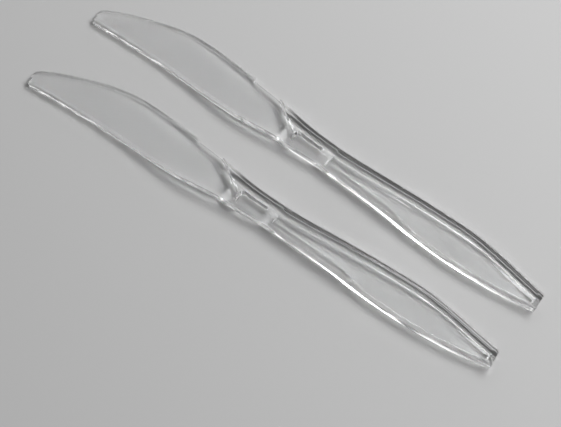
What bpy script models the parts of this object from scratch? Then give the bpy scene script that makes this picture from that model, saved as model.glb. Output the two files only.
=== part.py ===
"""Two clear plastic table knives, side by side on a table as they come out of the pack.

Each knife is one moulding of clear polystyrene. Its thin blade has a raised back and a finely
toothed cutting edge, and ends in a curved step. Two rims run on from there along the neck and the
handle, where they slope down to a shallow channel with a slightly swollen floor and close round
the butt. A small pocket is sunk in the neck. The knife lies flat on the table but for its heel,
which is a little clear of it.

Lengths are in metres and +Z is up. A knife is drawn along X from its tip at 0 to its butt, with its
back at low Y, its cutting edge at high Y and its lowest face at Z = 0.
"""

import math

import bmesh
import bpy
from mathutils import Matrix, Vector

# Lengths along the knife, one after the other from tip to butt
BLADE_LENGTH = 0.0635  # tip to the notch at the heel
SHANK_LENGTH = 0.0213  # heel to the rearmost point of the curved step
LAND_LENGTH = 0.0035  # flat land between the step and the pocket
POCKET_LENGTH = 0.0123
COLLAR_LENGTH = 0.0040  # solid land between the pocket and the channel
HANDLE_LENGTH = 0.0854  # start of the channel to the butt

# Widths across the knife
TIP_WIDTH = 0.0056
POINT_WIDTH = 0.0128  # where the curve of the tip runs out into the belly of the edge
BLADE_WIDTH = 0.0185
HEEL_WIDTH = 0.0178
SHANK_WIDTH = 0.0155  # just behind the notch at the heel
NECK_WIDTH = 0.0113
COLLAR_WIDTH = 0.0096
ROOT_WIDTH = 0.0098  # the handle where it starts
HANDLE_WIDTH = 0.0141
BUTT_WIDTH = 0.0062

# Places along the blade and the handle where the outline turns
POINT_AT = 0.0133  # from the tip
BELLY_AT = 0.0430  # widest place of the blade, from the tip
NECK_FROM_HEEL = 0.0225
SWELL_FROM_BUTT = 0.0325  # widest place of the handle
NOTCH_LENGTH = 0.0022  # the heel's step from the cutting edge in to the shank
JOINT_LENGTH = 0.0009  # small jog in the outline where the handle starts
BACK_STRAIGHT_AT = 0.0254  # the back runs parallel to the knife's axis here, from the tip
GRIP_LENGTH = 0.0140  # the back widens evenly over the first part of the handle
BACK_SWELL_FROM_BUTT = 0.0270  # the back's widest place in the handle

# Slopes of the outline's two sides at those places
TIP_BACK_SLOPE = 0.02
BUTT_BACK_SLOPE = 0.15
TIP_FLARE = 1.0
POINT_FLARE = 0.33
HEEL_TAPER = -0.08
SHANK_TAPER = -0.12
NECK_TAPER = -0.20
COLLAR_TAPER = -0.05
ROOT_FLARE = 0.03
BUTT_TAPER = -0.33
GRIP_BACK_SLOPE = -0.07

# How far the back lies outside the straight line from the tip to the middle of the butt
TIP_BACK = 0.0008
BLADE_BACK = 0.0005
HEEL_BACK = 0.0022
NECK_BACK = 0.0011
ROOT_BACK = 0.0014
GRIP_BACK = 0.00235
SWELL_BACK = 0.00545
BUTT_BACK = 0.0031

# Heights over the table of the top of the rims, and of the underside
TIP_HEIGHT = 0.0017
BLADE_HEIGHT = 0.0023
SHANK_HEIGHT = 0.0041
COLLAR_HEIGHT = 0.0033
SWELL_HEIGHT = 0.0030
BUTT_HEIGHT = 0.0028
BELLY_RISE = 0.03  # slope of the rims' top
SHANK_LIFT = 0.0009  # the underside's highest place, in the shank
SHANK_TOP_AT = 0.0125  # that place, from the heel
LIFT_FROM_HEEL = 0.0400  # the blade's underside starts to rise this far before the heel
LIFT_RUN_OUT = 0.0110  # behind the shank the underside comes down to the table over this length

# Walls
BLADE_THICKNESS = 0.0011
EDGE_THICKNESS = 0.00035
CREST_THICKNESS = 0.0007  # halfway up the bevel of the cutting edge
WEB_THICKNESS = 0.0014  # floor of the channel
POCKET_FLOOR = 0.0008
BACK_RIB = 0.0008  # raised back of the blade
RIM_WIDTH = 0.0012
RIM_SLOPE = 0.0026  # sloping side of the channel, across the knife
NECK_SLOPE = 0.0007  # the same in the neck, on the side of the back
CHEEK_SLOPE = 0.0024  # and on the side of the edge
RIB_SLOPE = 0.0009
LAND_DROP = 0.0006  # the lands lie this far below the top of the rims
BACK_SLOPE_END = 0.0008  # the slope beside the back is steeper than that towards the butt
BACK_TURN_AT = 0.0260  # it turns so here, from the start of the handle
BACK_TURN_LENGTH = 0.0140
EDGE_SLOPE_END = 0.0018  # and so does the one beside the edge, further on
EDGE_TURN_AT = 0.0450
EDGE_TURN_LENGTH = 0.0200
CHANNEL_SWELL = 0.0004  # the channel's floor is this much higher in its middle
SWELL_RUN = 0.0060  # that swelling runs out over this length at both ends
BEVEL_WIDTH = 0.0022
BEVEL_TOP = 0.0010  # outer part of the bevel, up to its crest
MOST_SIDES = 0.8  # at a narrow end the rims and slopes take at most this share of the width

# Small shapes
TOOTH_PITCH = 0.0019
TOOTH_DEPTH = 0.0003
TOOTH_ON_CREST = 0.3  # share of a tooth's depth that shows on the crest of the bevel
TIP_SLANT = 0.33  # the blunt end of the tip leans forward towards the edge
TIP_SLANT_LENGTH = 0.0100
TIP_ROUND = 0.0012
TIP_BACK_ROUND = 0.0004
BUTT_ROUND = 0.0006
STEP_FROM_BACK = 0.0050  # the curved step's rearmost point, across the knife
STEP_BACK_RADIUS = 0.0070  # its bow on the side of the back, seen from above
STEP_EDGE_RADIUS = 0.0046  # and on the side of the edge
STEP_SWEEP = math.radians(66)  # from there it runs straight on to the outline, turned this far
STEP_RUN = 0.00026  # the slope of the step, along the knife
POCKET_WIDTH = 0.0048
POCKET_ROUND = 0.0008  # corners of the pocket on the side of the back
POCKET_CURVE = 0.0026  # its wide corner towards the blade, on the side of the edge
POCKET_WALL = 0.0004  # lean of the pocket's side walls
POCKET_RAMP = 0.0008  # lean of its wall towards the blade
POCKET_SHARE = 0.96  # most of the floor's width that the pocket takes
CHANNEL_WALL = 0.0008  # lean of the wall that closes the channel at the collar
BUTT_WALL = 0.0013  # the rim that closes the channel at the butt

# The second knife's place beside the first
KNIFE_SPACING = 0.0296
KNIFE_SHIFT = 0.0032
KNIFE_TURN = math.radians(-2.84)

# Fineness of the drawn mesh
FLOOR_COLUMNS = 5  # on each side of the middle
FINE_STEP = 0.0007
PLAIN_STEP = 0.0022
SHARP_ANGLE = math.radians(25)  # folds sharper than this are shaded as edges

HEEL_X = BLADE_LENGTH
STEP_X = HEEL_X + SHANK_LENGTH
POCKET_X = STEP_X + LAND_LENGTH
POCKET_END_X = POCKET_X + POCKET_LENGTH
HANDLE_X = POCKET_END_X + COLLAR_LENGTH
BUTT_X = HANDLE_X + HANDLE_LENGTH
SWELL_X = BUTT_X - SWELL_FROM_BUTT
NECK_X = HEEL_X + NECK_FROM_HEEL
STEP_FOOT_X = STEP_X - STEP_RUN
BOW_REACH = SHANK_LENGTH - STEP_RUN - NOTCH_LENGTH  # the cuts lean into the step's bow over this


def along(x, knots):
    """Height at x of a smooth curve through knots, each a place, a height and a slope there."""
    if x <= knots[0][0]:
        return knots[0][1]
    for (x0, y0, slope0), (x1, y1, slope1) in zip(knots, knots[1:]):
        if x <= x1:
            span = x1 - x0
            t = (x - x0) / span
            rise = t * t * (3 - 2 * t)
            bend0 = t * (1 - t) ** 2 * span * slope0
            bend1 = t * t * (t - 1) * span * slope1
            return y0 + (y1 - y0) * rise + bend0 + bend1
    return knots[-1][1]


def ease(t):
    """0 below 0, 1 above 1 and a smooth rise between."""
    t = min(max(t, 0.0), 1.0)
    return t * t * (3 - 2 * t)


def rounding(distance, radius):
    """How far a rounded corner pulls a side in, at a distance from the end that it rounds."""
    if distance >= radius:
        return 0.0
    return radius - math.sqrt(max(radius**2 - (radius - distance) ** 2, 0.0))


def back(x):
    """Y of the outline on the side of the back."""
    if x <= HANDLE_X - JOINT_LENGTH:
        y = along(
            x,
            [
                (0.0, -TIP_BACK, TIP_BACK_SLOPE),
                (BACK_STRAIGHT_AT, -BLADE_BACK, 0.0),
                (HEEL_X + NOTCH_LENGTH, -HEEL_BACK, 0.0),
                (STEP_X, -NECK_BACK, 0.0),
                (HANDLE_X - JOINT_LENGTH, -NECK_BACK, 0.0),
            ],
        )
    else:
        y = along(
            x,
            [
                (HANDLE_X - JOINT_LENGTH, -NECK_BACK, 0.0),
                (HANDLE_X, -ROOT_BACK, GRIP_BACK_SLOPE),
                (HANDLE_X + GRIP_LENGTH, -GRIP_BACK, GRIP_BACK_SLOPE),
                (BUTT_X - BACK_SWELL_FROM_BUTT, -SWELL_BACK, 0.0),
                (BUTT_X, -BUTT_BACK, BUTT_BACK_SLOPE),
            ],
        )
    return y


def width(x):
    """Width of the outline without its teeth and rounded corners."""
    if x <= HEEL_X:
        return along(
            x,
            [
                (0.0, TIP_WIDTH, TIP_FLARE),
                (POINT_AT, POINT_WIDTH, POINT_FLARE),
                (BELLY_AT, BLADE_WIDTH, 0.0),
                (HEEL_X, HEEL_WIDTH, HEEL_TAPER),
            ],
        )
    return along(
        x,
        [
            (HEEL_X, HEEL_WIDTH, HEEL_TAPER),
            (HEEL_X + NOTCH_LENGTH, SHANK_WIDTH, SHANK_TAPER),
            (NECK_X, NECK_WIDTH, NECK_TAPER),
            (HANDLE_X - JOINT_LENGTH, COLLAR_WIDTH, COLLAR_TAPER),
            (HANDLE_X, ROOT_WIDTH, ROOT_FLARE),
            (SWELL_X, HANDLE_WIDTH, 0.0),
            (BUTT_X, BUTT_WIDTH, BUTT_TAPER),
        ],
    )


def tooth(x):
    """How far the cutting edge is cut back at x between the points of its teeth."""
    first = TIP_ROUND + TOOTH_PITCH
    last = HEEL_X - NOTCH_LENGTH / 2
    if not first < x < last:
        return 0.0
    phase = (x - first) / TOOTH_PITCH % 1.0
    return TOOTH_DEPTH * math.sin(math.pi * phase)


def underside(x):
    """Height of the underside."""
    return along(
        x,
        [
            (HEEL_X - LIFT_FROM_HEEL, 0.0, 0.0),
            (HEEL_X + SHANK_TOP_AT, SHANK_LIFT, 0.0),
            (HEEL_X + SHANK_TOP_AT + LIFT_RUN_OUT, 0.0, 0.0),
        ],
    )


def back_top(x):
    """Height of the rims, of which the one on the side of the edge starts at the step."""
    return along(
        x,
        [
            (0.0, TIP_HEIGHT, 0.0),
            (BELLY_AT, BLADE_HEIGHT, BELLY_RISE),
            (HEEL_X + SHANK_TOP_AT, SHANK_HEIGHT, 0.0),
            (HANDLE_X, COLLAR_HEIGHT, 0.0),
            (SWELL_X - SWELL_FROM_BUTT / 2, SWELL_HEIGHT, 0.0),
            (BUTT_X, BUTT_HEIGHT, 0.0),
        ],
    )


def ramp(t):
    """0 below 0, 1 above 1 and a straight rise between."""
    return min(max(t, 0.0), 1.0)


def step_bow(y):
    """How far the step runs forward at y from its rearmost point: an arc, and on the side of the
    edge a straight line on from it to the outline."""
    across = y - back(STEP_X) - STEP_FROM_BACK
    if across < 0:
        turned = min(-across, STEP_BACK_RADIUS)
        return STEP_BACK_RADIUS - math.sqrt(STEP_BACK_RADIUS**2 - turned**2)
    turned = min(across, STEP_EDGE_RADIUS * math.sin(STEP_SWEEP))
    arc = STEP_EDGE_RADIUS - math.sqrt(STEP_EDGE_RADIUS**2 - turned**2)
    return arc + (across - turned) * math.tan(STEP_SWEEP)


def side_lines(x):
    """Y at x of six lines: the outer face of the back, the inner edge and the foot of the rim
    beside it, and the same from the foot on the other side out to the cutting edge."""
    left = back(x) + rounding(x, TIP_BACK_ROUND) + rounding(BUTT_X - x, BUTT_ROUND)
    right = back(x) + width(x) - rounding(x, TIP_ROUND) - rounding(BUTT_X - x, BUTT_ROUND)
    # From blade to handle the raised back widens into a rim, and the bevel into the other rim
    turn = ease((x - HEEL_X) / SHANK_LENGTH)
    grip = ease((x - POCKET_END_X) / COLLAR_LENGTH)
    back_steep = ease((x - HANDLE_X - BACK_TURN_AT) / BACK_TURN_LENGTH)
    edge_steep = ease((x - HANDLE_X - EDGE_TURN_AT) / EDGE_TURN_LENGTH)
    rib = BACK_RIB + (RIM_WIDTH - BACK_RIB) * turn
    slope = RIB_SLOPE + (NECK_SLOPE - RIB_SLOPE) * turn + (RIM_SLOPE - NECK_SLOPE) * grip
    slope += (BACK_SLOPE_END - RIM_SLOPE) * back_steep
    bevel_foot = BEVEL_WIDTH - BEVEL_TOP
    rim = BEVEL_TOP + (RIM_WIDTH - BEVEL_TOP) * turn
    rim_slope = bevel_foot + (CHEEK_SLOPE - bevel_foot) * turn + (RIM_SLOPE - CHEEK_SLOPE) * grip
    rim_slope += (EDGE_SLOPE_END - RIM_SLOPE) * edge_steep
    fit = min(1.0, MOST_SIDES * (right - left) / (rib + slope + rim + rim_slope))
    inner = left + (rib + slope) * fit
    outer = right - (rim + rim_slope) * fit
    return left, left + rib * fit, inner, outer, right - rim * fit, right


def pocket_at(x):
    """Half width of the pocket at x towards the back and the edge, and how deep it is, 0 to 1."""
    near = min(max(x - POCKET_X, 0.0), POCKET_LENGTH)
    far = POCKET_LENGTH - near
    to_back = POCKET_WIDTH / 2 - rounding(min(near, far), POCKET_ROUND)
    to_edge = POCKET_WIDTH / 2 - rounding(near, POCKET_CURVE) - rounding(far, POCKET_ROUND)
    return to_back, to_edge, min(ramp(near / POCKET_RAMP), ramp(far / POCKET_WALL))


def floor_height(x, risen):
    """Height of the blade, or of the channel, with the lands between them; risen is 0 before the
    step and 1 behind it."""
    land = back_top(x) - LAND_DROP
    channel = underside(x) + WEB_THICKNESS
    if x > SWELL_X:
        top = back_top(x)
        return top + (channel - top) * ramp((BUTT_X - RIM_WIDTH - x) / BUTT_WALL)
    if x >= HANDLE_X:
        return land + (channel - land) * ramp((x - HANDLE_X) / CHANNEL_WALL)
    blade = underside(x) + BLADE_THICKNESS
    return blade + max(land - blade, 0.0) * risen


def floor_place(x, column, risen):
    """Y and Z at x of one of the lines that run along the floor between the rims."""
    _, _, inner, outer, _, _ = side_lines(x)
    to_back, to_edge, depth = pocket_at(x)
    share = column / FLOOR_COLUMNS
    floor_half = (outer - inner) / 2
    middle = (inner + outer) / 2
    y = middle + share * floor_half
    # In the neck the outermost line but one is the brink of the pocket
    in_neck = ease((x - STEP_X) / LAND_LENGTH) * ease((HANDLE_X - x) / COLLAR_LENGTH)
    half = min(to_back if column < 0 else to_edge, POCKET_SHARE * floor_half)
    if abs(column) == FLOOR_COLUMNS - 1:
        brink = half
    else:
        brink = (half - POCKET_WALL) * abs(column) / (FLOOR_COLUMNS - 2)
    if abs(column) < FLOOR_COLUMNS:
        y += (middle + math.copysign(brink, column) - y) * in_neck
    swell = CHANNEL_SWELL * ease((x - HANDLE_X) / SWELL_RUN) * ease((BUTT_X - x) / SWELL_RUN)
    z = floor_height(x, risen) + swell * (1 - share**2)
    if abs(column) < FLOOR_COLUMNS - 1:
        z += (underside(x) + POCKET_FLOOR - z) * depth
    return y, z


def section(x):
    """The knife cut across at x: places up the back, over the top and down the edge. Near the step
    the cut leans forward with the step's bow, so that the step lies along whole cuts. Behind the
    notch the plate isn't sharpened, and its edge is blunt."""
    risen = ramp((x - STEP_FOOT_X) / STEP_RUN)
    lean = ramp((x - STEP_FOOT_X + BOW_REACH) / BOW_REACH) * ramp((POCKET_X - x) / LAND_LENGTH)
    left, rib_in, _, _, _, _ = side_lines(x)
    places = [(x, left, underside(x)), (x, left, back_top(x)), (x, rib_in, back_top(x))]
    for column in range(-FLOOR_COLUMNS, FLOOR_COLUMNS + 1):
        at = x - step_bow(floor_place(x, column, risen)[0]) * lean
        places.append((at, *floor_place(at, column, risen)))
    at = x - step_bow(side_lines(x)[4]) * lean
    blunt = ease((at - HEEL_X) / NOTCH_LENGTH)
    crest = underside(at) + CREST_THICKNESS + (BLADE_THICKNESS - CREST_THICKNESS) * blunt
    in_from_crest = tooth(at) * TOOTH_ON_CREST * (1 - risen)
    places.append((at, side_lines(at)[4] - in_from_crest, crest + (back_top(at) - crest) * risen))
    at = x - step_bow(side_lines(x)[5]) * lean
    right = side_lines(at)[5] - tooth(at)
    blunt = ease((at - HEEL_X) / NOTCH_LENGTH)
    thin = underside(at) + EDGE_THICKNESS + (BLADE_THICKNESS - EDGE_THICKNESS) * blunt
    places.append((at, right, thin + (back_top(at) - thin) * risen))
    places.append((at, right, underside(at)))
    return places


def stations():
    """Places along the knife where it is cut, closer together where its shape turns."""
    xs = [TIP_ROUND * (i / 3) ** 2 for i in range(4)]
    x = TIP_ROUND + TOOTH_PITCH
    while x < HEEL_X - NOTCH_LENGTH / 2:
        xs.append(x)
        x += TOOTH_PITCH / 2
    spans = [
        (HEEL_X, HEEL_X + NOTCH_LENGTH, NOTCH_LENGTH / 4),
        (HEEL_X + NOTCH_LENGTH, STEP_FOOT_X, 2 * FINE_STEP),
        (STEP_FOOT_X, STEP_X, STEP_RUN / 2),
        (STEP_X, POCKET_X, 2 * FINE_STEP),
        (POCKET_X, POCKET_X + POCKET_CURVE, POCKET_CURVE / 6),
        (POCKET_X + POCKET_CURVE, POCKET_END_X - POCKET_ROUND, PLAIN_STEP),
        (POCKET_END_X - POCKET_ROUND, POCKET_END_X, POCKET_WALL),
        (POCKET_END_X, HANDLE_X - JOINT_LENGTH, PLAIN_STEP),
        (HANDLE_X - JOINT_LENGTH, HANDLE_X, JOINT_LENGTH / 2),
        (HANDLE_X, HANDLE_X + CHANNEL_WALL, CHANNEL_WALL / 2),
        (HANDLE_X + CHANNEL_WALL, BUTT_X - RIM_WIDTH - BUTT_WALL, PLAIN_STEP),
        (BUTT_X - RIM_WIDTH - BUTT_WALL, BUTT_X - RIM_WIDTH, BUTT_WALL / 3),
        (BUTT_X - RIM_WIDTH, BUTT_X - BUTT_ROUND, RIM_WIDTH - BUTT_ROUND),
        (BUTT_X - BUTT_ROUND, BUTT_X, BUTT_ROUND / 2),
    ]
    for start, end, step in spans:
        count = max(1, round((end - start) / step))
        xs += [start + (end - start) * i / count for i in range(count)]
    xs.append(BUTT_X)
    return sorted(set(xs))


def knife_mesh():
    """The whole moulding: its first section drawn as a loop, then extruded from cut to cut."""
    mesh = bmesh.new()
    xs = stations()
    ring = [mesh.verts.new(place) for place in section(xs[0])]
    edges = [mesh.edges.new((a, b)) for a, b in zip(ring, ring[1:] + ring[:1])]
    tip = ring
    for x in xs[1:]:
        grown = bmesh.ops.extrude_edge_only(mesh, edges=edges)["geom"]
        new = {v for v in grown if isinstance(v, bmesh.types.BMVert)}
        ring = [next(e.other_vert(v) for e in v.link_edges if e.other_vert(v) in new) for v in ring]
        edges = [mesh.edges.get((a, b)) for a, b in zip(ring, ring[1:] + ring[:1])]
        for vert, place in zip(ring, section(x)):
            vert.co = place
    mesh.faces.new(tip)
    mesh.faces.new(ring)
    for vert in mesh.verts:
        slant = TIP_SLANT * max(0.0, 1 - vert.co.x / TIP_SLANT_LENGTH) ** 2
        vert.co.x -= slant * (vert.co.y - back(0.0))
    bmesh.ops.triangulate(mesh, faces=mesh.faces[:])
    bmesh.ops.recalc_face_normals(mesh, faces=mesh.faces[:])
    result = bpy.data.meshes.new("knife")
    mesh.to_mesh(result)
    mesh.free()
    result.shade_smooth()
    result.set_sharp_from_angle(angle=SHARP_ANGLE)
    return result


def clear_polystyrene():
    """Clear, glossy plastic with a faint grey cast."""
    material = bpy.data.materials.new("clear_plastic")
    material.use_nodes = True
    shader = material.node_tree.nodes["Principled BSDF"]
    shader.inputs["Base Color"].default_value = (0.93, 0.94, 0.94, 1.0)
    shader.inputs["Roughness"].default_value = 0.05
    shader.inputs["Metallic"].default_value = 0.0
    shader.inputs["IOR"].default_value = 1.59
    shader.inputs["Transmission Weight"].default_value = 1.0
    return material


for thing in list(bpy.data.objects):
    bpy.data.objects.remove(thing, do_unlink=True)

plastic = clear_polystyrene()
middle_of_knife = Matrix.Translation((-BUTT_X / 2, 0.0, 0.0))
places = {
    "knife_front": Matrix.Identity(4),
    "knife_rear": Matrix.Translation((KNIFE_SHIFT, KNIFE_SPACING, 0.0))
    @ Matrix.Rotation(KNIFE_TURN, 4, "Z"),
}
knives = []
for name, place in places.items():
    shape = knife_mesh()
    shape.transform(middle_of_knife)
    knife = bpy.data.objects.new(name, shape)
    knife.data.materials.append(plastic)
    bpy.context.collection.objects.link(knife)
    knife.matrix_world = place
    knives.append(knife)

# The pair is moved so that the middle of its footprint stands over the origin
corners = [place @ v.co for knife, place in zip(knives, places.values()) for v in knife.data.vertices]
low_corner = Vector([min(c[i] for c in corners) for i in range(3)])
high_corner = Vector([max(c[i] for c in corners) for i in range(3)])
footprint = (low_corner + high_corner) / 2
for knife in knives:
    knife.location.x -= footprint.x
    knife.location.y -= footprint.y
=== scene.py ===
import math

import bmesh
import bpy
from mathutils import Matrix, Vector


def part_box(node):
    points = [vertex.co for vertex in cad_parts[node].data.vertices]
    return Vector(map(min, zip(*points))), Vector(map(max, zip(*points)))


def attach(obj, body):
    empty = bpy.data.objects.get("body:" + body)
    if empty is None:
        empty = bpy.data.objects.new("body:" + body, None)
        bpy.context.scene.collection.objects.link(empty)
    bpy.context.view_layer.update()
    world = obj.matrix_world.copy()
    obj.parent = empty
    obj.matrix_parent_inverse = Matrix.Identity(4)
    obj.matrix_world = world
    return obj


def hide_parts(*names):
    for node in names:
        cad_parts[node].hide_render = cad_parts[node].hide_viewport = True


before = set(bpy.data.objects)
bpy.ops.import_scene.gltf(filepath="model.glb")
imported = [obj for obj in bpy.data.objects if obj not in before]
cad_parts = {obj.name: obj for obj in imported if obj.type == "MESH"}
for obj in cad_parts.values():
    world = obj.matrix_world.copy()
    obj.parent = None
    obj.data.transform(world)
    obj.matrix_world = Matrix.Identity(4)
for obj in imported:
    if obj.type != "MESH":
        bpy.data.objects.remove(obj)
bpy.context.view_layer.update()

# The knives: two alike, each shot in one piece in clear polystyrene. The blade is thin and flat, with
# a raised back and a toothed edge, and ends in a curved step. Rims run on from there down both sides
# of the handle, with a channel between them, and a small pocket is sunk in the neck.

# Lengths along the knife, one after the other from tip to butt
BLADE_LENGTH = 0.0635  # tip to the notch at the heel
SHANK_LENGTH = 0.0213  # heel to the rearmost point of the curved step
LAND_LENGTH = 0.0035  # flat land between the step and the pocket
POCKET_LENGTH = 0.0123
COLLAR_LENGTH = 0.0040  # solid land between the pocket and the channel
HANDLE_LENGTH = 0.0854  # start of the channel to the butt

# Widths across the knife
TIP_WIDTH = 0.0056
POINT_WIDTH = 0.0128  # where the curve of the tip runs out into the belly of the edge
BLADE_WIDTH = 0.0185
HEEL_WIDTH = 0.0178
SHANK_WIDTH = 0.0155  # just behind the notch at the heel
NECK_WIDTH = 0.0113
COLLAR_WIDTH = 0.0096
ROOT_WIDTH = 0.0098  # the handle where it starts
HANDLE_WIDTH = 0.0141
BUTT_WIDTH = 0.0062

# Places along the blade and the handle where the outline turns
POINT_AT = 0.0133  # from the tip
BELLY_AT = 0.0430  # widest place of the blade, from the tip
NECK_FROM_HEEL = 0.0225
SWELL_FROM_BUTT = 0.0325  # widest place of the handle
NOTCH_LENGTH = 0.0022  # the heel's step from the cutting edge in to the shank
JOINT_LENGTH = 0.0009  # small jog in the outline where the handle starts
BACK_STRAIGHT_AT = 0.0254  # the back runs parallel to the knife's axis here, from the tip
GRIP_LENGTH = 0.0140  # the back widens evenly over the first part of the handle
BACK_SWELL_FROM_BUTT = 0.0270  # the back's widest place in the handle

# Slopes of the outline's two sides at those places
TIP_BACK_SLOPE = 0.02
BUTT_BACK_SLOPE = 0.15
TIP_FLARE = 1.0
POINT_FLARE = 0.33
HEEL_TAPER = -0.08
SHANK_TAPER = -0.12
NECK_TAPER = -0.20
COLLAR_TAPER = -0.05
ROOT_FLARE = 0.03
BUTT_TAPER = -0.33
GRIP_BACK_SLOPE = -0.07

# How far the back lies outside the straight line from the tip to the middle of the butt
TIP_BACK = 0.0008
BLADE_BACK = 0.0005
HEEL_BACK = 0.0022
NECK_BACK = 0.0011
ROOT_BACK = 0.0014
GRIP_BACK = 0.00235
SWELL_BACK = 0.00545
BUTT_BACK = 0.0031

# Heights over the table of the top of the rims, and of the underside
TIP_HEIGHT = 0.0017
BLADE_HEIGHT = 0.0023
SHANK_HEIGHT = 0.0041
COLLAR_HEIGHT = 0.0033
SWELL_HEIGHT = 0.0030
BUTT_HEIGHT = 0.0028
BELLY_RISE = 0.03  # slope of the rims' top
SHANK_LIFT = 0.0009  # the underside's highest place, in the shank
SHANK_TOP_AT = 0.0125  # that place, from the heel
LIFT_FROM_HEEL = 0.0400  # the blade's underside starts to rise this far before the heel
LIFT_RUN_OUT = 0.0110  # behind the shank the underside comes down to the table over this length

# Walls
BLADE_THICKNESS = 0.0011
EDGE_THICKNESS = 0.00035
CREST_THICKNESS = 0.0007  # halfway up the bevel of the cutting edge
WEB_THICKNESS = 0.0014  # floor of the channel
POCKET_FLOOR = 0.0008
BACK_RIB = 0.0008  # raised back of the blade
RIM_WIDTH = 0.0012
RIM_SLOPE = 0.0026  # sloping side of the channel, across the knife
NECK_SLOPE = 0.0007  # the same in the neck, on the side of the back
CHEEK_SLOPE = 0.0024  # and on the side of the edge
RIB_SLOPE = 0.0009
LAND_DROP = 0.0006  # the lands lie this far below the top of the rims
BACK_SLOPE_END = 0.0008  # the slope beside the back is steeper than that towards the butt
BACK_TURN_AT = 0.0260  # it turns so here, from the start of the handle
BACK_TURN_LENGTH = 0.0140
EDGE_SLOPE_END = 0.0018  # and so does the one beside the edge, further on
EDGE_TURN_AT = 0.0450
EDGE_TURN_LENGTH = 0.0200
CHANNEL_SWELL = 0.0004  # the channel's floor is this much higher in its middle
SWELL_RUN = 0.0060  # that swelling runs out over this length at both ends
BEVEL_WIDTH = 0.0022
BEVEL_TOP = 0.0010  # outer part of the bevel, up to its crest
MOST_SIDES = 0.8  # at a narrow end the rims and slopes take at most this share of the width

# Small shapes
TOOTH_PITCH = 0.0019
TOOTH_DEPTH = 0.0003
TOOTH_ON_CREST = 0.3  # share of a tooth's depth that shows on the crest of the bevel
TIP_SLANT = 0.33  # the blunt end of the tip leans forward towards the edge
TIP_SLANT_LENGTH = 0.0100
TIP_ROUND = 0.0012
TIP_BACK_ROUND = 0.0004
BUTT_ROUND = 0.0006
STEP_FROM_BACK = 0.0050  # the curved step's rearmost point, across the knife
STEP_BACK_RADIUS = 0.0070  # its bow on the side of the back, seen from above
STEP_EDGE_RADIUS = 0.0046  # and on the side of the edge
STEP_SWEEP = math.radians(66)  # from there it runs straight on to the outline, turned this far
STEP_RUN = 0.00026  # the slope of the step, along the knife
POCKET_WIDTH = 0.0048
POCKET_ROUND = 0.0008  # corners of the pocket on the side of the back
POCKET_CURVE = 0.0026  # its wide corner towards the blade, on the side of the edge
POCKET_WALL = 0.0004  # lean of the pocket's side walls
POCKET_RAMP = 0.0008  # lean of its wall towards the blade
POCKET_SHARE = 0.96  # most of the floor's width that the pocket takes
CHANNEL_WALL = 0.0008  # lean of the wall that closes the channel at the collar
BUTT_WALL = 0.0013  # the rim that closes the channel at the butt
GATE_RADIUS = 0.0022  # a torn stub on the collar, where the plastic ran into the mould
GATE_RISE = 0.0005
GATE_PITCH = 0.0010  # its lumps stand this far apart
GATE_SKEW = 0.4  # their rows across the knife lean this much
GATE_CROSS_SKEW = 0.3  # and those along it this much

# Roundings
CORNER = 0.00014  # of the edges
CORNER_SHARE = 0.45  # most of a side that the rounding of its corner takes
FOLD = 0.00012  # of the folds across the knife
FOLD_ROOM = 1.3  # no other cut is made nearer to a fold than this many of its roundings
CROWN = 0.0001  # the top of the rim on the side of the edge is domed by this much

# Fineness of the drawn mesh
FLOOR_COLUMNS = 13  # on each side of the middle
CORNER_STEPS = 3
TOOTH_CUTS = 6
FINE_CUT = 0.0001  # least distance between two cuts, at the small corners

# The rear knife lies turned against the front one
REAR_TURN = math.radians(-2.84)

HEEL_X = BLADE_LENGTH
STEP_X = HEEL_X + SHANK_LENGTH
POCKET_X = STEP_X + LAND_LENGTH
POCKET_END_X = POCKET_X + POCKET_LENGTH
HANDLE_X = POCKET_END_X + COLLAR_LENGTH
BUTT_X = HANDLE_X + HANDLE_LENGTH
SWELL_X = BUTT_X - SWELL_FROM_BUTT
NECK_X = HEEL_X + NECK_FROM_HEEL
STEP_FOOT_X = STEP_X - STEP_RUN
BOW_REACH = SHANK_LENGTH - STEP_RUN - NOTCH_LENGTH  # the cuts lean into the step's bow over this


def along(x, knots):
    """Height at x of a smooth curve through knots, each a place, a height and a slope there."""
    if x <= knots[0][0]:
        return knots[0][1]
    for (x0, y0, slope0), (x1, y1, slope1) in zip(knots, knots[1:]):
        if x <= x1:
            span = x1 - x0
            t = (x - x0) / span
            rise = t * t * (3 - 2 * t)
            bend0 = t * (1 - t) ** 2 * span * slope0
            bend1 = t * t * (t - 1) * span * slope1
            return y0 + (y1 - y0) * rise + bend0 + bend1
    return knots[-1][1]


def ease(t):
    """0 below 0, 1 above 1 and a smooth rise between."""
    t = min(max(t, 0.0), 1.0)
    return t * t * (3 - 2 * t)


def rounding(distance, radius):
    """How far a rounded corner pulls a side in, at a distance from the end that it rounds."""
    if distance >= radius:
        return 0.0
    return radius - math.sqrt(max(radius**2 - (radius - distance) ** 2, 0.0))


def back(x):
    """Y of the outline on the side of the back."""
    if x <= HANDLE_X - JOINT_LENGTH:
        return along(
            x,
            [
                (0.0, -TIP_BACK, TIP_BACK_SLOPE),
                (BACK_STRAIGHT_AT, -BLADE_BACK, 0.0),
                (HEEL_X + NOTCH_LENGTH, -HEEL_BACK, 0.0),
                (STEP_X, -NECK_BACK, 0.0),
                (HANDLE_X - JOINT_LENGTH, -NECK_BACK, 0.0),
            ],
        )
    return along(
        x,
        [
            (HANDLE_X - JOINT_LENGTH, -NECK_BACK, 0.0),
            (HANDLE_X, -ROOT_BACK, GRIP_BACK_SLOPE),
            (HANDLE_X + GRIP_LENGTH, -GRIP_BACK, GRIP_BACK_SLOPE),
            (BUTT_X - BACK_SWELL_FROM_BUTT, -SWELL_BACK, 0.0),
            (BUTT_X, -BUTT_BACK, BUTT_BACK_SLOPE),
        ],
    )


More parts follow.
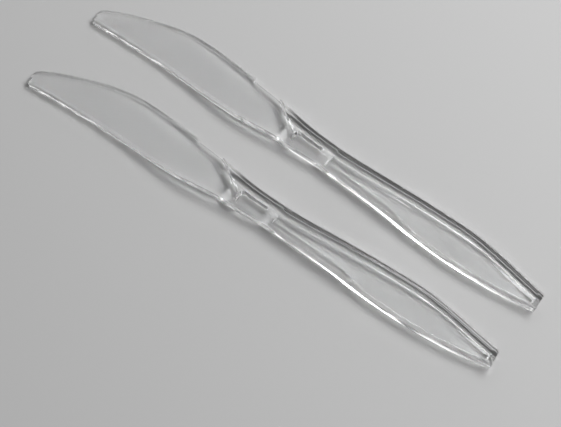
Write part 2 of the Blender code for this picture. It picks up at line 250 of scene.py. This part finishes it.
def width(x):
    """Width of the outline without its teeth and rounded corners."""
    if x <= HEEL_X:
        return along(
            x,
            [
                (0.0, TIP_WIDTH, TIP_FLARE),
                (POINT_AT, POINT_WIDTH, POINT_FLARE),
                (BELLY_AT, BLADE_WIDTH, 0.0),
                (HEEL_X, HEEL_WIDTH, HEEL_TAPER),
            ],
        )
    return along(
        x,
        [
            (HEEL_X, HEEL_WIDTH, HEEL_TAPER),
            (HEEL_X + NOTCH_LENGTH, SHANK_WIDTH, SHANK_TAPER),
            (NECK_X, NECK_WIDTH, NECK_TAPER),
            (HANDLE_X - JOINT_LENGTH, COLLAR_WIDTH, COLLAR_TAPER),
            (HANDLE_X, ROOT_WIDTH, ROOT_FLARE),
            (SWELL_X, HANDLE_WIDTH, 0.0),
            (BUTT_X, BUTT_WIDTH, BUTT_TAPER),
        ],
    )


def tooth(x):
    """How far the cutting edge is cut back at x between the points of its teeth."""
    first = TIP_ROUND + TOOTH_PITCH
    last = HEEL_X - NOTCH_LENGTH / 2
    if not first < x < last:
        return 0.0
    phase = (x - first) / TOOTH_PITCH % 1.0
    return TOOTH_DEPTH * math.sin(math.pi * phase)


def underside(x):
    """Height of the underside."""
    return along(
        x,
        [
            (HEEL_X - LIFT_FROM_HEEL, 0.0, 0.0),
            (HEEL_X + SHANK_TOP_AT, SHANK_LIFT, 0.0),
            (HEEL_X + SHANK_TOP_AT + LIFT_RUN_OUT, 0.0, 0.0),
        ],
    )


def back_top(x):
    """Height of the rims, of which the one on the side of the edge starts at the step."""
    return along(
        x,
        [
            (0.0, TIP_HEIGHT, 0.0),
            (BELLY_AT, BLADE_HEIGHT, BELLY_RISE),
            (HEEL_X + SHANK_TOP_AT, SHANK_HEIGHT, 0.0),
            (HANDLE_X, COLLAR_HEIGHT, 0.0),
            (SWELL_X - SWELL_FROM_BUTT / 2, SWELL_HEIGHT, 0.0),
            (BUTT_X, BUTT_HEIGHT, 0.0),
        ],
    )


def ramp(place, length):
    """A straight rise from 0 to 1 over a length, its two folds rounded."""
    t = place / length
    soft = FOLD / length
    if t <= -soft or t >= 1 + soft:
        return float(t > 0.5)
    if t < soft:
        return (t + soft) ** 2 / (4 * soft)
    if t > 1 - soft:
        return 1 - (1 + soft - t) ** 2 / (4 * soft)
    return t


def step_bow(y):
    """How far the step runs forward at y from its rearmost point: an arc, and on the side of the
    edge a straight line on from it to the outline."""
    across = y - back(STEP_X) - STEP_FROM_BACK
    if across < 0:
        turned = min(-across, STEP_BACK_RADIUS)
        return STEP_BACK_RADIUS - math.sqrt(STEP_BACK_RADIUS**2 - turned**2)
    turned = min(across, STEP_EDGE_RADIUS * math.sin(STEP_SWEEP))
    arc = STEP_EDGE_RADIUS - math.sqrt(STEP_EDGE_RADIUS**2 - turned**2)
    return arc + (across - turned) * math.tan(STEP_SWEEP)


def side_lines(x):
    """Y at x of six lines: the outer face of the back, the inner edge and the foot of the rim
    beside it, and the same from the foot on the other side out to the cutting edge."""
    left = back(x) + rounding(x, TIP_BACK_ROUND) + rounding(BUTT_X - x, BUTT_ROUND)
    right = back(x) + width(x) - rounding(x, TIP_ROUND) - rounding(BUTT_X - x, BUTT_ROUND)
    # From blade to handle the raised back widens into a rim, and the bevel into the other rim
    turn = ease((x - HEEL_X) / SHANK_LENGTH)
    grip = ease((x - POCKET_END_X) / COLLAR_LENGTH)
    back_steep = ease((x - HANDLE_X - BACK_TURN_AT) / BACK_TURN_LENGTH)
    edge_steep = ease((x - HANDLE_X - EDGE_TURN_AT) / EDGE_TURN_LENGTH)
    rib = BACK_RIB + (RIM_WIDTH - BACK_RIB) * turn
    slope = RIB_SLOPE + (NECK_SLOPE - RIB_SLOPE) * turn + (RIM_SLOPE - NECK_SLOPE) * grip
    slope += (BACK_SLOPE_END - RIM_SLOPE) * back_steep
    bevel_foot = BEVEL_WIDTH - BEVEL_TOP
    rim = BEVEL_TOP + (RIM_WIDTH - BEVEL_TOP) * turn
    rim_slope = bevel_foot + (CHEEK_SLOPE - bevel_foot) * turn + (RIM_SLOPE - CHEEK_SLOPE) * grip
    rim_slope += (EDGE_SLOPE_END - RIM_SLOPE) * edge_steep
    fit = min(1.0, MOST_SIDES * (right - left) / (rib + slope + rim + rim_slope))
    inner = left + (rib + slope) * fit
    outer = right - (rim + rim_slope) * fit
    return left, left + rib * fit, inner, outer, right - rim * fit, right


def pocket_at(x):
    """Half width of the pocket at x towards the back and the edge, and how deep it is, 0 to 1."""
    near = min(max(x - POCKET_X, 0.0), POCKET_LENGTH)
    far = POCKET_LENGTH - near
    to_back = POCKET_WIDTH / 2 - rounding(min(near, far), POCKET_ROUND)
    to_edge = POCKET_WIDTH / 2 - rounding(near, POCKET_CURVE) - rounding(far, POCKET_ROUND)
    return to_back, to_edge, min(ramp(near, POCKET_RAMP), ramp(far, POCKET_WALL))


def floor_height(x, risen):
    """Height of the blade, or of the channel, with the lands between them; risen is 0 before the
    step and 1 behind it."""
    land = back_top(x) - LAND_DROP
    channel = underside(x) + WEB_THICKNESS
    if x > SWELL_X:
        top = back_top(x)
        return top + (channel - top) * ramp(BUTT_X - RIM_WIDTH - x, BUTT_WALL)
    if x >= HANDLE_X:
        return land + (channel - land) * ramp(x - HANDLE_X, CHANNEL_WALL)
    blade = underside(x) + BLADE_THICKNESS
    return blade + max(land - blade, 0.0) * risen


def gate_stub(x, from_middle):
    """How far the lumps of the gate's stub stand up from the collar."""
    from_centre = x - POCKET_END_X - COLLAR_LENGTH / 2
    inside = max(0.0, 1 - (from_centre**2 + from_middle**2) / GATE_RADIUS**2)
    turn = 2 * math.pi / GATE_PITCH
    wave = math.sin((from_centre + GATE_SKEW * from_middle) * turn)
    cross_wave = math.sin((from_middle - GATE_CROSS_SKEW * from_centre) * turn)
    return GATE_RISE * inside * (1 + wave * cross_wave) / 2


def floor_place(x, column, risen):
    """Y and Z at x of one of the lines that run along the floor between the rims."""
    _, _, inner, outer, _, _ = side_lines(x)
    to_back, to_edge, depth = pocket_at(x)
    share = column / FLOOR_COLUMNS
    floor_half = (outer - inner) / 2
    middle = (inner + outer) / 2
    y = middle + share * floor_half
    # In the neck the outermost line but one is the brink of the pocket
    in_neck = ease((x - STEP_X) / LAND_LENGTH) * ease((HANDLE_X - x) / COLLAR_LENGTH)
    half = min(to_back if column < 0 else to_edge, POCKET_SHARE * floor_half)
    if abs(column) == FLOOR_COLUMNS - 1:
        brink = half
    else:
        brink = (half - POCKET_WALL) * abs(column) / (FLOOR_COLUMNS - 2)
    if abs(column) < FLOOR_COLUMNS:
        y += (middle + math.copysign(brink, column) - y) * in_neck
    swell = CHANNEL_SWELL * ease((x - HANDLE_X) / SWELL_RUN) * ease((BUTT_X - x) / SWELL_RUN)
    z = floor_height(x, risen) + swell * (1 - share**2)
    if abs(column) < FLOOR_COLUMNS - 1:
        z += (underside(x) + POCKET_FLOOR - z) * depth
    return y, z + gate_stub(x, y - middle)


def softened(corners):
    """The section's line with its corners rounded: a corner is (place, radius)."""
    line = []
    for i, (here, radius) in enumerate(corners):
        if radius <= 0:
            line.append(here)
            continue
        before = corners[i - 1][0] - here
        after = corners[(i + 1) % len(corners)][0] - here
        start = here + before * min(radius / before.length, CORNER_SHARE)
        end = here + after * min(radius / after.length, CORNER_SHARE)
        for step in range(CORNER_STEPS + 1):
            t = step / CORNER_STEPS
            line.append(start * (1 - t) ** 2 + here * 2 * t * (1 - t) + end * t * t)
    return line


def edge_height(x, thickness):
    """Height of the top of the bevel where it is this thick. Behind the notch the plate isn't
    sharpened, and its edge is blunt."""
    blunt = ease((x - HEEL_X) / NOTCH_LENGTH)
    return underside(x) + thickness + (BLADE_THICKNESS - thickness) * blunt


def section(x):
    """The knife cut across at x: places up the back, over the top and down the edge. Near the step
    the cut leans forward with the step's bow, so that the step lies along whole cuts."""
    risen = ramp(x - STEP_FOOT_X, STEP_RUN)
    lean = ease((x - STEP_FOOT_X + BOW_REACH) / BOW_REACH) * ease((POCKET_X - x) / LAND_LENGTH)
    left, rib_in, _, _, _, _ = side_lines(x)
    corners = [
        (Vector((x, left, underside(x))), CORNER),
        (Vector((x, left, back_top(x))), CORNER),
        (Vector((x, rib_in, back_top(x))), CORNER),
    ]
    for column in range(-FLOOR_COLUMNS, FLOOR_COLUMNS + 1):
        at = x - step_bow(floor_place(x, column, risen)[0]) * lean
        place = Vector((at, *floor_place(at, column, risen)))
        corners.append((place, CORNER if abs(column) == FLOOR_COLUMNS else 0.0))
    # Before the step the last corners are the bevel's crest and edge, and behind it the rim's top
    at = x - step_bow(side_lines(x)[4]) * lean
    crest = edge_height(at, CREST_THICKNESS)
    y = side_lines(at)[4] - tooth(at) * TOOTH_ON_CREST * (1 - risen)
    inner_top = Vector((at, y, crest + (back_top(at) - crest) * risen))
    corners.append((inner_top, CORNER))
    at = x - step_bow(side_lines(x)[5]) * lean
    right = side_lines(at)[5] - tooth(at)
    thin = edge_height(at, EDGE_THICKNESS)
    outer_top = Vector((at, right, thin + (back_top(at) - thin) * risen))
    for share in (0.25, 0.5, 0.75):
        domed = Vector((0, 0, CROWN * risen * (1 - (2 * share - 1) ** 2)))
        corners.append((inner_top.lerp(outer_top, share) + domed, 0.0))
    corners.append((outer_top, CORNER * (1 + risen) / 2))
    corners.append((Vector((at, right, underside(at))), CORNER / 2))
    return softened(corners)


def stations():
    """Places along the knife where it is cut, closer together where its shape turns."""
    butt_rim = BUTT_X - RIM_WIDTH
    folds = [POCKET_X, POCKET_X + POCKET_RAMP, POCKET_END_X - POCKET_WALL, POCKET_END_X]
    folds += [HANDLE_X, HANDLE_X + CHANNEL_WALL, butt_rim - BUTT_WALL, butt_rim]
    folds += [STEP_FOOT_X, STEP_X]
    spans = [
        (0.0, TIP_ROUND, 2 * FINE_CUT),
        (TIP_ROUND, HEEL_X, TOOTH_PITCH / TOOTH_CUTS),
        (HEEL_X, HEEL_X + NOTCH_LENGTH, 2 * FINE_CUT),
        (HEEL_X + NOTCH_LENGTH, STEP_FOOT_X, 5 * FINE_CUT),
        (STEP_FOOT_X, POCKET_X + POCKET_CURVE, 2.5 * FINE_CUT),
        (POCKET_X + POCKET_CURVE, POCKET_END_X - POCKET_ROUND, 6 * FINE_CUT),
        (POCKET_END_X - POCKET_ROUND, POCKET_END_X, FINE_CUT),
        (POCKET_END_X, HANDLE_X + CHANNEL_WALL, 2 * FINE_CUT),
        (HANDLE_X + CHANNEL_WALL, butt_rim - BUTT_WALL, 9 * FINE_CUT),
        (butt_rim - BUTT_WALL, BUTT_X - BUTT_ROUND, 2 * FINE_CUT),
        (BUTT_X - BUTT_ROUND, BUTT_X, FINE_CUT),
    ]
    xs = {BUTT_X}
    for start, end, step in spans:
        count = max(1, round((end - start) / step))
        xs |= {start + (end - start) * i / count for i in range(count)}
    xs = {x for x in xs if all(abs(x - fold) > FOLD_ROOM * FOLD for fold in folds)}
    xs |= {fold + FOLD * part for fold in folds for part in (-1, -0.5, 0, 0.5, 1)}
    return sorted(xs)


def knife_mesh():
    """The moulding: its first section as a loop, extruded from cut to cut, with closed ends."""
    mesh = bmesh.new()
    xs = stations()
    ring = [mesh.verts.new(place) for place in section(xs[0])]
    edges = [mesh.edges.new((a, b)) for a, b in zip(ring, ring[1:] + ring[:1])]
    tip = ring
    for x in xs[1:]:
        grown = bmesh.ops.extrude_edge_only(mesh, edges=edges)["geom"]
        new = {v for v in grown if isinstance(v, bmesh.types.BMVert)}
        ring = [next(e.other_vert(v) for e in v.link_edges if e.other_vert(v) in new) for v in ring]
        edges = [mesh.edges.get((a, b)) for a, b in zip(ring, ring[1:] + ring[:1])]
        for vert, place in zip(ring, section(x)):
            vert.co = place
    mesh.faces.new(tip)
    mesh.faces.new(ring)
    for vert in mesh.verts:
        lean = TIP_SLANT * max(0.0, 1 - vert.co.x / TIP_SLANT_LENGTH) ** 2
        vert.co.x -= lean * (vert.co.y - back(0.0))
    bmesh.ops.recalc_face_normals(mesh, faces=mesh.faces[:])
    result = bpy.data.meshes.new("knife")
    mesh.to_mesh(result)
    mesh.free()
    result.shade_smooth()
    return result


def clear_polystyrene():
    """Clear, glossy plastic with the faint waviness of a moulded skin."""
    material = bpy.data.materials.new("clear_plastic")
    material.use_nodes = True
    nodes = material.node_tree.nodes
    links = material.node_tree.links
    shader = nodes["Principled BSDF"]
    shader.inputs["Base Color"].default_value = (0.99, 0.992, 0.992, 1.0)
    shader.inputs["IOR"].default_value = 1.59
    shader.inputs["Transmission Weight"].default_value = 1.0
    # Waves about a centimetre long, so low that they show only in what the skin mirrors and bends
    place = nodes.new("ShaderNodeTexCoord")
    wave = nodes.new("ShaderNodeTexNoise")
    wave.inputs["Scale"].default_value = 90.0
    wave.inputs["Detail"].default_value = 1.0
    bump = nodes.new("ShaderNodeBump")
    bump.inputs["Strength"].default_value = 0.05
    bump.inputs["Distance"].default_value = 0.0002
    links.new(place.outputs["Object"], wave.inputs["Vector"])
    links.new(wave.outputs["Fac"], bump.inputs["Height"])
    links.new(bump.outputs["Normal"], shader.inputs["Normal"])
    # The gloss varies a little with them
    haze = nodes.new("ShaderNodeMapRange")
    haze.inputs["To Min"].default_value = 0.01
    haze.inputs["To Max"].default_value = 0.05
    links.new(wave.outputs["Fac"], haze.inputs["Value"])
    links.new(haze.outputs["Result"], shader.inputs["Roughness"])
    return material


def lay_knife(name, node, turn):
    """One knife, laid with its middle where the middle of the frame's knife lies."""
    shape = moulded.copy()
    shape.transform(Matrix.Rotation(turn, 4, "Z"))
    low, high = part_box(node)
    move = Vector()
    for axis in (0, 1):
        reach = [v.co[axis] for v in shape.vertices]
        move[axis] = (low[axis] + high[axis] - min(reach) - max(reach)) / 2
    shape.transform(Matrix.Translation(move))
    knife = bpy.data.objects.new(name, shape)
    knife.data.materials.append(plastic)
    bpy.context.collection.objects.link(knife)
    knife.modifiers.new("even_faces", "WEIGHTED_NORMAL")
    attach(knife, "root")
    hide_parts(node)


plastic = clear_polystyrene()
moulded = knife_mesh()
lay_knife("front_knife", "knife_front", 0.0)
lay_knife("rear_knife", "knife_rear", REAR_TURN)

# The table under them: a broad plain grey top, matt, so that the shadows and the light that the
# plastic gathers lie softly on it.
TABLE_SIZE = 6.0
TABLE_GAP = 0.0001  # it lies this far below the knives, so that no two faces coincide
bpy.ops.mesh.primitive_plane_add(size=TABLE_SIZE, location=(0, 0, -TABLE_GAP))
table = bpy.context.object
table.name = "table_top"
matt_grey = bpy.data.materials.new("matt_grey")
matt_grey.use_nodes = True
table_shader = matt_grey.node_tree.nodes["Principled BSDF"]
table_shader.inputs["Base Color"].default_value = (0.52, 0.52, 0.52, 1.0)
table_shader.inputs["Roughness"].default_value = 0.9
table.data.materials.append(matt_grey)

# The light: one wide soft lamp beyond the knives and to the right, a dimmer one straight behind
# them, and a dim one there close over the table, which the rims mirror, in a dim grey room.
world = bpy.data.worlds.new("room")
bpy.context.scene.world = world
world.use_nodes = True
room_light = world.node_tree.nodes["Background"]
room_light.inputs["Color"].default_value = (1.0, 1.0, 1.0, 1.0)
room_light.inputs["Strength"].default_value = 0.15
LAMP_DISTANCE = 1.0
LAMPS = [
    # azimuth and height in degrees, width and depth in metres, watts
    (48, 45, 1.5, 0.35, 12.6),
    (102, 36, 1.2, 0.4, 2.4),
    (100, 8, 1.6, 0.35, 2.0),
]
for azimuth, height, wide, deep, watts in LAMPS:
    lamp_data = bpy.data.lights.new("lamp", "AREA")
    lamp_data.shape = "RECTANGLE"
    lamp_data.size = wide
    lamp_data.size_y = deep
    lamp_data.energy = watts
    lamp = bpy.data.objects.new("lamp", lamp_data)
    bpy.context.collection.objects.link(lamp)
    around = math.radians(azimuth)
    above = math.radians(height)
    lamp.location = LAMP_DISTANCE * Vector(
        (math.cos(around) * math.cos(above), math.sin(around) * math.cos(above), math.sin(above))
    )
    lamp.rotation_euler = (-lamp.location).to_track_quat("-Z", "Y").to_euler()

# The camera looks down on the pair from beside the handles.
CAMERA_AZIMUTH = math.radians(33.14)
CAMERA_ELEVATION = math.radians(65)
CAMERA_DISTANCE = 0.3735
LOOKS_AT = Vector((0.0082, -0.0157, 0.0))
camera_data = bpy.data.cameras.new("camera")
camera_data.sensor_width = 36.0
camera_data.lens = 70.2
camera_data.clip_start = 0.01
camera = bpy.data.objects.new("camera", camera_data)
bpy.context.collection.objects.link(camera)
toward = Vector(
    (
        -math.sin(CAMERA_AZIMUTH) * math.cos(CAMERA_ELEVATION),
        math.cos(CAMERA_AZIMUTH) * math.cos(CAMERA_ELEVATION),
        -math.sin(CAMERA_ELEVATION),
    )
)
camera.location = LOOKS_AT - toward * CAMERA_DISTANCE
camera.rotation_euler = toward.to_track_quat("-Z", "Y").to_euler()
bpy.context.scene.camera = camera
bpy.context.scene.view_settings.view_transform = "Standard"
# Light runs far inside the thin clear blades before it comes out again, and none of it is blurred
# or clipped on its way
bpy.context.scene.cycles.max_bounces = 40
bpy.context.scene.cycles.transmission_bounces = 40
bpy.context.scene.cycles.glossy_bounces = 24
bpy.context.scene.cycles.blur_glossy = 0.0
bpy.context.scene.cycles.sample_clamp_indirect = 0.0
